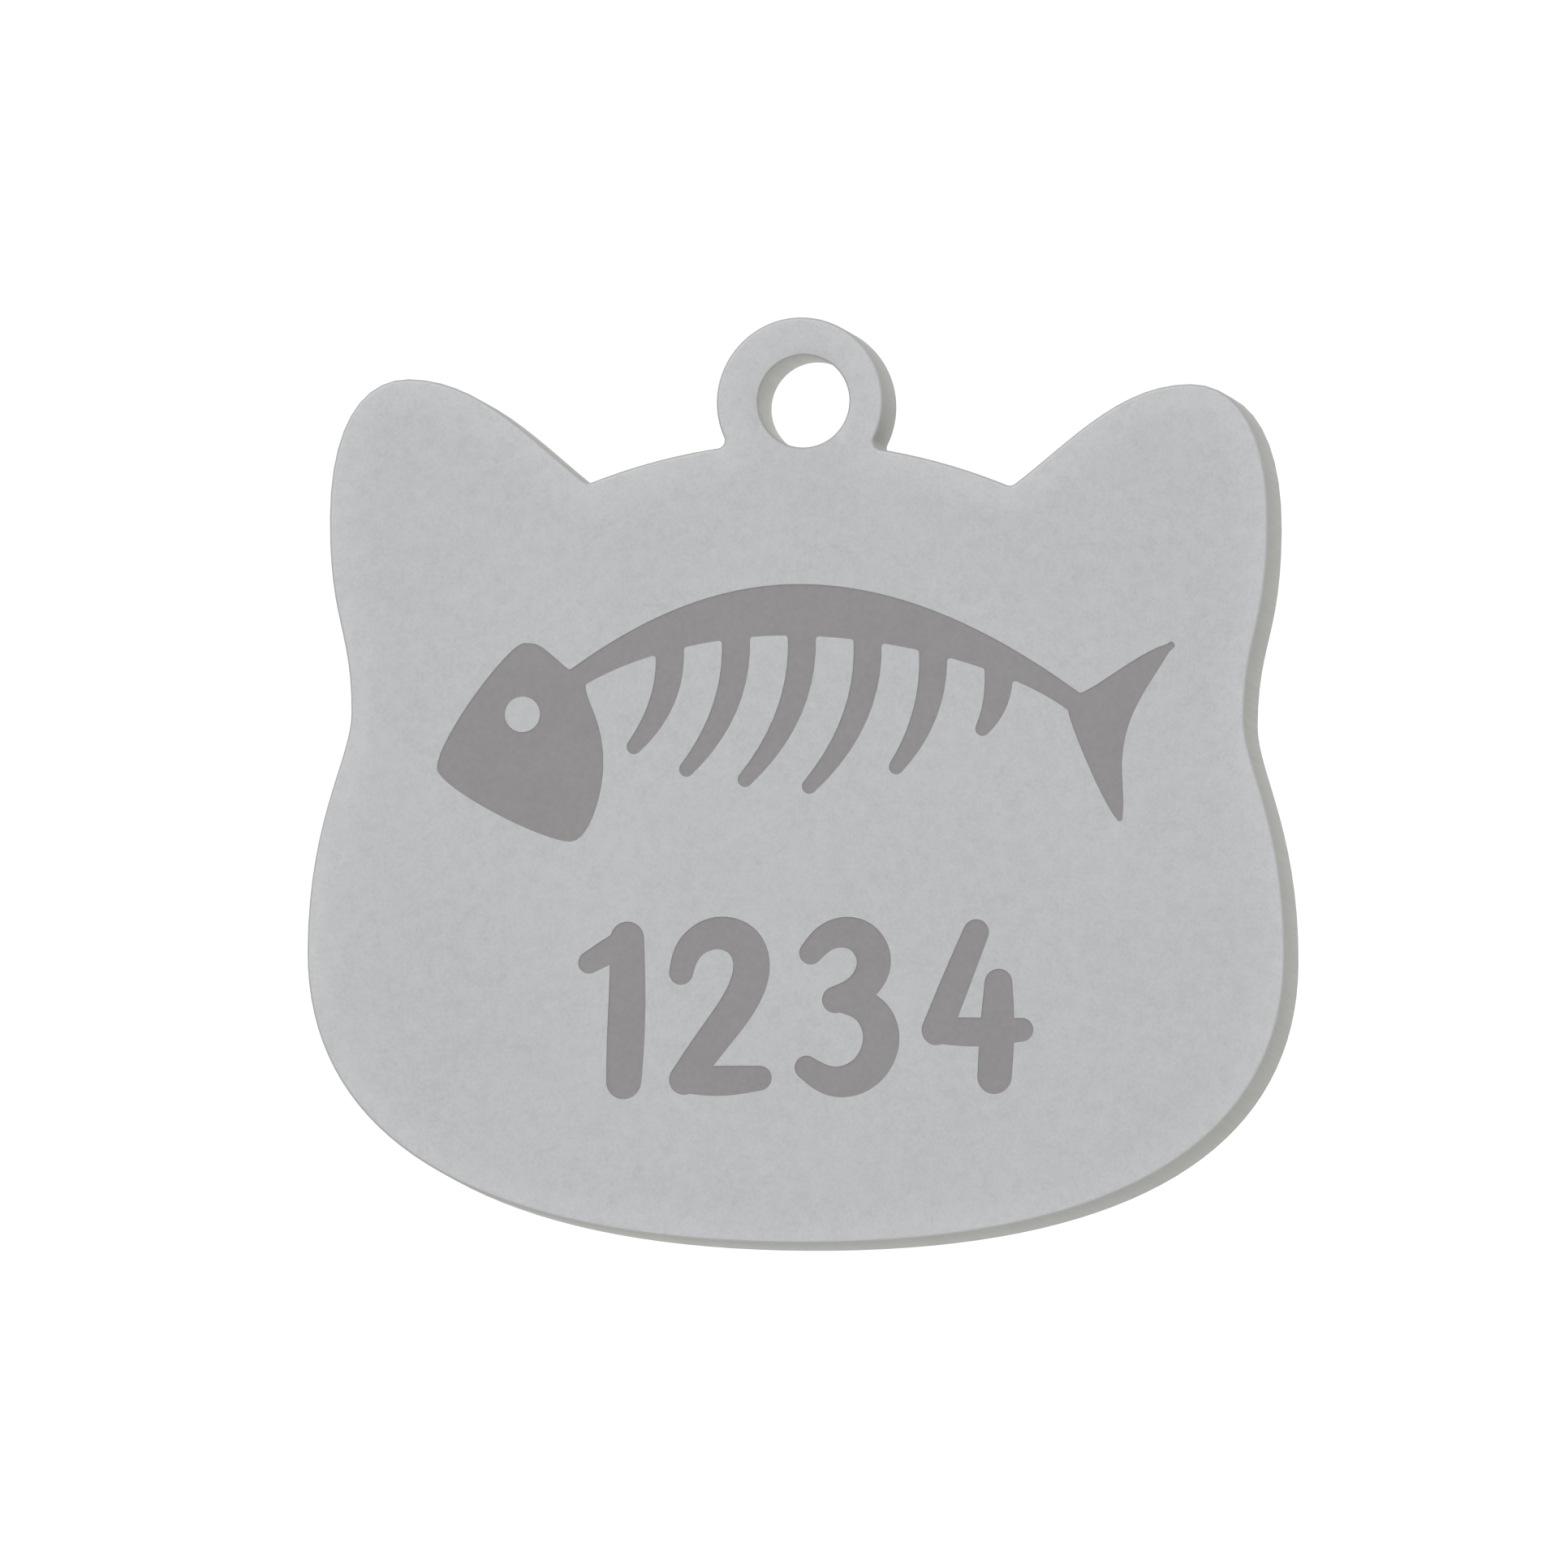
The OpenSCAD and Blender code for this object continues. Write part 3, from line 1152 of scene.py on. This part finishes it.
@dataclass
class NumberFill(Fill):
    """The row of digits: grooves of a round cutter, filled like the fishbone.

    Attributes:
        cutter_sink: How far below the face the cutter's middle runs.
        base_z: The height of the digits' foot line.
        places: Each digit's name and the x of its middle.
        steps: Steps from one point of a stroke to the next.
        cap_steps: Steps round each end of a stroke.
        bevel_steps: Facets of half a stroke's round section, past the first two.
        merge: The distance within which the corners of a stroke's pole become one.
    """

    cutter_sink: float = 0.01 * MM
    base_z: float = -21.2 * MM
    places: tuple[tuple[str, float], ...] = (
        ("one", -5.60 * MM),
        ("two", -2.50 * MM),
        ("three", 1.36 * MM),
        ("four", 5.36 * MM),
    )
    steps: int = 12
    cap_steps: int = 8
    bevel_steps: int = 8
    merge: float = 0.0001 * MM

    def build(self) -> None:
        """Models the digits as one mesh, which rises past the front face."""
        digits = [self._digit(name, x) for name, x in self.places]
        take(digits[0])
        for digit in digits[1:]:
            digit.select_set(True)
        bpy.ops.object.join()
        self.piece = bpy.context.active_object
        self.piece.name = self.piece.data.name = "number_fill"

    def _digit(self, name: str, x: float) -> bpy.types.Object:
        """Models one digit.

        Args:
            name: The digit's name.
            x: The place of its middle.

        Returns:
            The digit as one closed shape.
        """
        strokes = [self._stroke(stroke, x) for stroke in DIGITS[name]]
        first = strokes[0]
        for other in strokes[1:]:
            boolean(first, other, Cut.ADD)
            drop(other)
        return first

    def _stroke(self, stroke: Stroke, x: float) -> bpy.types.Object:
        """Draws one stroke as a round bar along its line.

        Args:
            stroke: The stroke.
            x: The place of the digit's middle.

        Returns:
            The bar, closed at its round ends.
        """
        bpy.ops.object.select_all(action="DESELECT")
        bpy.ops.curve.primitive_nurbs_path_add()
        bar = bpy.context.active_object
        curve = bar.data
        curve.splines.clear()
        rows = stroke.samples(self.steps, self.cap_steps)
        spline = curve.splines.new("POLY")
        spline.points.add(len(rows) - 1)
        for point, (px, pz, radius) in zip(spline.points, rows):
            point.co = (x + px * MM, self.face_y + self.cutter_sink, self.base_z + pz * MM, 1)
            point.radius = radius * MM
        curve.bevel_depth = 1.0
        curve.bevel_resolution = self.bevel_steps
        curve.use_fill_caps = False
        bpy.ops.object.convert(target="MESH")
        bar = bpy.context.active_object
        edit(bar)
        bpy.ops.mesh.select_all(action="SELECT")
        bpy.ops.mesh.remove_doubles(threshold=self.merge)
        bpy.ops.mesh.normals_make_consistent(inside=False)
        done()
        return bar

    def _level(self, top: float) -> None:
        """Cuts the fill off and closes its top.

        Args:
            top: The height of its new top, along Y.
        """
        edit(self.piece)
        bpy.ops.mesh.select_all(action="SELECT")
        bpy.ops.mesh.bisect(
            plane_co=(0, top, 0),
            plane_no=(0, -1, 0),
            use_fill=True,
            clear_outer=True,
            threshold=TINY,
        )
        done()

    def dress(self, shop: Workshop) -> None:
        """Levels the fill just below the face and finishes it.

        Args:
            shop: The builder of materials.
        """
        top = self.face_y + self.sink
        self._level(top)
        self._dish(top, HAIR)
        self._coat(shop, top + HAIR)
        hand_over(self.piece)


@dataclass(frozen=True)
class Lamp:
    """A soft lamp: where it hangs, the width of its square face, and its power in watts."""

    name: str
    place: Place
    width: float
    power: float


@dataclass
class Studio:
    """The floor, the light and the camera.

    Attributes:
        yaw: How far right of straight ahead the camera stands, in degrees.
        pitch: How far below level it stands, in degrees.
        roll: How far it leans, in degrees.
        frame_w: The width of its view.
        target: The place that it and the lamps look at.
        distance: How far from there it stands.
        clip: The nearest and the furthest that it sees.
        floor_z: The floor's height.
        floor_w: The floor's width.
        floor_colour: The floor's colour.
        floor_roughness: The floor's roughness.
        front_light: The colour of the light from the tag's front.
        back_light: The colour of the light from behind it.
        sweep: How far to each side of the middle one light turns into the other.
        ground: The strength of the white ground that the camera sees.
        lamps: The lamps.
    """

    yaw: float = 10.3
    pitch: float = 5.65
    roll: float = 0.37
    frame_w: float = 47.34 * MM
    target: Place = (-0.52 * MM, -1.2 * MM, -11.61 * MM)
    distance: float = 0.3
    clip: tuple[float, float] = (0.01, 20.0)
    floor_z: float = -0.08
    floor_w: float = 8.0
    floor_colour: Colour = (0.86, 0.86, 0.855)
    floor_roughness: float = 0.9
    front_light: Colour = (1.012, 1.013, 1.020)
    back_light: Colour = (0.985, 0.985, 0.985)
    sweep: float = 0.6
    ground: float = 1.05
    lamps: tuple[Lamp, ...] = (
        Lamp("key_light", (-0.22, -0.34, 0.30), 0.30, 0.45),
        Lamp("fill_light", (0.34, -0.30, 0.10), 0.30, 0.10),
        Lamp("top_light", (0.0, 0.05, 0.45), 0.35, 0.03),
    )

    def build(self) -> None:
        """Sets up the whole studio."""
        self._floor()
        self._surroundings()
        for lamp in self.lamps:
            self._hang(lamp)
        self._camera()
        bpy.context.scene.view_settings.view_transform = "Standard"

    def _floor(self) -> None:
        """Lays a plain pale floor."""
        bpy.ops.object.select_all(action="DESELECT")
        bpy.ops.mesh.primitive_plane_add(size=self.floor_w, location=(0, 0, self.floor_z))
        floor = bpy.context.active_object
        floor.name = "studio_floor"
        material = bpy.data.materials.new("pale_floor")
        material.use_nodes = True
        shader = material.node_tree.nodes["Principled BSDF"]
        shader.inputs["Base Color"].default_value = (*self.floor_colour, 1)
        shader.inputs["Roughness"].default_value = self.floor_roughness
        floor.data.materials.append(material)

    def _surroundings(self) -> None:
        """Makes the soft light from all round, and a white ground for the camera."""
        world = bpy.data.worlds.new("studio")
        bpy.context.scene.world = world
        world.use_nodes = True
        tree = world.node_tree
        tree.nodes.clear()
        way = tree.nodes.new("ShaderNodeTexCoord").outputs["Generated"]
        axes = tree.nodes.new("ShaderNodeSeparateXYZ")
        tree.links.new(way, axes.inputs[0])
        back = tree.nodes.new("ShaderNodeMapRange")
        back.interpolation_type = "SMOOTHSTEP"
        back.inputs["From Min"].default_value = -self.sweep
        back.inputs["From Max"].default_value = self.sweep
        tree.links.new(axes.outputs["Y"], back.inputs["Value"])
        mix = tree.nodes.new("ShaderNodeMix")
        mix.data_type = "RGBA"
        mix.inputs["A"].default_value = (*self.front_light, 1)
        mix.inputs["B"].default_value = (*self.back_light, 1)
        tree.links.new(back.outputs["Result"], mix.inputs["Factor"])
        soft = tree.nodes.new("ShaderNodeBackground")
        tree.links.new(mix.outputs["Result"], soft.inputs["Color"])
        white = tree.nodes.new("ShaderNodeBackground")
        white.inputs["Color"].default_value = (1, 1, 1, 1)
        white.inputs["Strength"].default_value = self.ground
        ray = tree.nodes.new("ShaderNodeLightPath")
        pick = tree.nodes.new("ShaderNodeMixShader")
        tree.links.new(ray.outputs["Is Camera Ray"], pick.inputs[0])
        tree.links.new(soft.outputs[0], pick.inputs[1])
        tree.links.new(white.outputs[0], pick.inputs[2])
        out = tree.nodes.new("ShaderNodeOutputWorld")
        tree.links.new(pick.outputs[0], out.inputs[0])

    def _hang(self, lamp: Lamp) -> None:
        """Hangs a lamp that looks at the tag.

        Args:
            lamp: The lamp.
        """
        bpy.ops.object.select_all(action="DESELECT")
        bpy.ops.object.light_add(type="AREA", location=lamp.place)
        light = bpy.context.active_object
        light.name = lamp.name
        light.data.size = lamp.width
        light.data.energy = lamp.power
        way = Vector(self.target) - Vector(lamp.place)
        light.rotation_euler = way.to_track_quat("-Z", "Y").to_euler()

    def _camera(self) -> None:
        """Sets the camera at the photograph's angle, low and from the right."""
        yaw, pitch, roll = (math.radians(a) for a in (self.yaw, self.pitch, self.roll))
        look = Vector(
            (-math.sin(yaw) * math.cos(pitch), math.cos(yaw) * math.cos(pitch), math.sin(pitch))
        )
        right = Vector((math.cos(yaw), math.sin(yaw), 0))
        up = right.cross(look)
        turned_right = right * math.cos(roll) + up * math.sin(roll)
        turned_up = up * math.cos(roll) - right * math.sin(roll)
        bpy.ops.object.select_all(action="DESELECT")
        bpy.ops.object.camera_add()
        camera = bpy.context.active_object
        camera.name = "photo_camera"
        camera.data.type = "ORTHO"
        camera.data.ortho_scale = self.frame_w
        camera.data.clip_start, camera.data.clip_end = self.clip
        turn = Matrix((turned_right, turned_up, -look)).transposed()
        camera.matrix_world = Matrix.Translation(
            Vector(self.target) - look * self.distance
        ) @ turn.to_4x4()
        bpy.context.scene.camera = camera


def main() -> None:
    """Builds the tag's pieces and the studio, in order."""
    logging.basicConfig(level=logging.INFO, format="%(name)s: %(message)s")
    shop = Workshop()
    plate = PlateBody()
    fishbone = FishboneFill()
    number = NumberFill()
    plate.build()
    fishbone.build()
    pocket = fishbone.pocket_tool()
    plate.engrave(pocket)
    drop(pocket)
    number.build()
    plate.engrave(number.piece)
    fishbone.dress(shop)
    number.dress(shop)
    plate.dress(shop)
    Studio().build()


if __name__ == "__main__":
    main()
